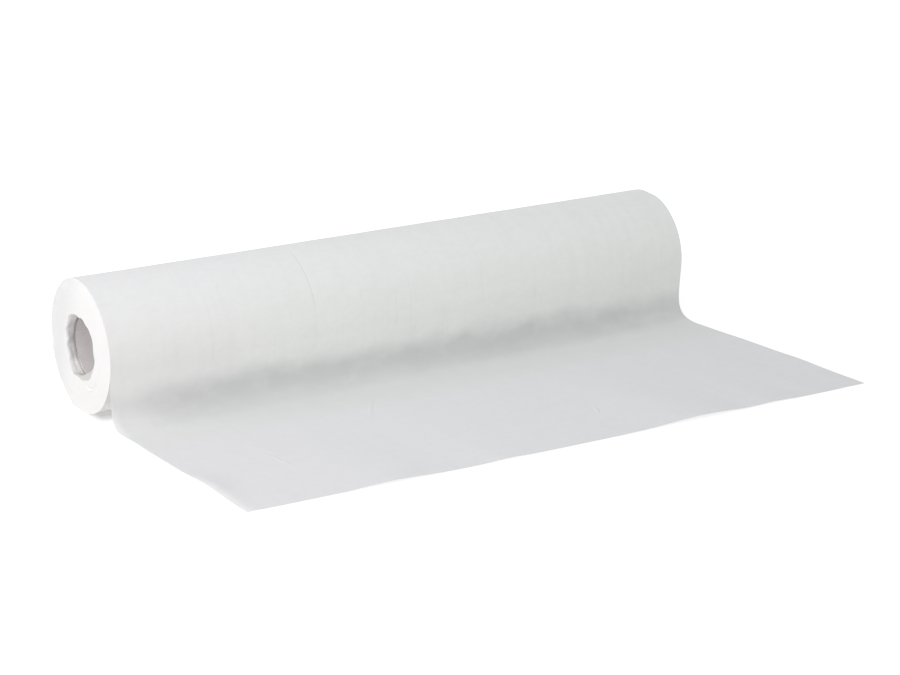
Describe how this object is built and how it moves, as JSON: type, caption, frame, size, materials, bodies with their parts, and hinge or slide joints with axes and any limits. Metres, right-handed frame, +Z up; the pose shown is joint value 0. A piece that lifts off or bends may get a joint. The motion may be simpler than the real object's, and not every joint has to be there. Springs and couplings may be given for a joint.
{
  "type": "exam table paper roll",
  "caption": "Roll of white crepe paper on a cardboard core, its outer turn coming over the top and down the front into a flat leading sheet.",
  "frame": {"origin": "on the table, in the middle of the flat spot that the roll rests on, halfway along the roll", "axes": "+Z up, +X along the roll, -Y the side where the paper comes off and lies on the table"},
  "size_m": [0.5334, 0.3242, 0.1019],
  "materials": {
    "core_board": "matte",
    "crepe_paper": "matte"
  },
  "bodies": {
    "root": {"core_tube": "core_board", "paper_roll": "crepe_paper"}
  },
  "joints": []
}
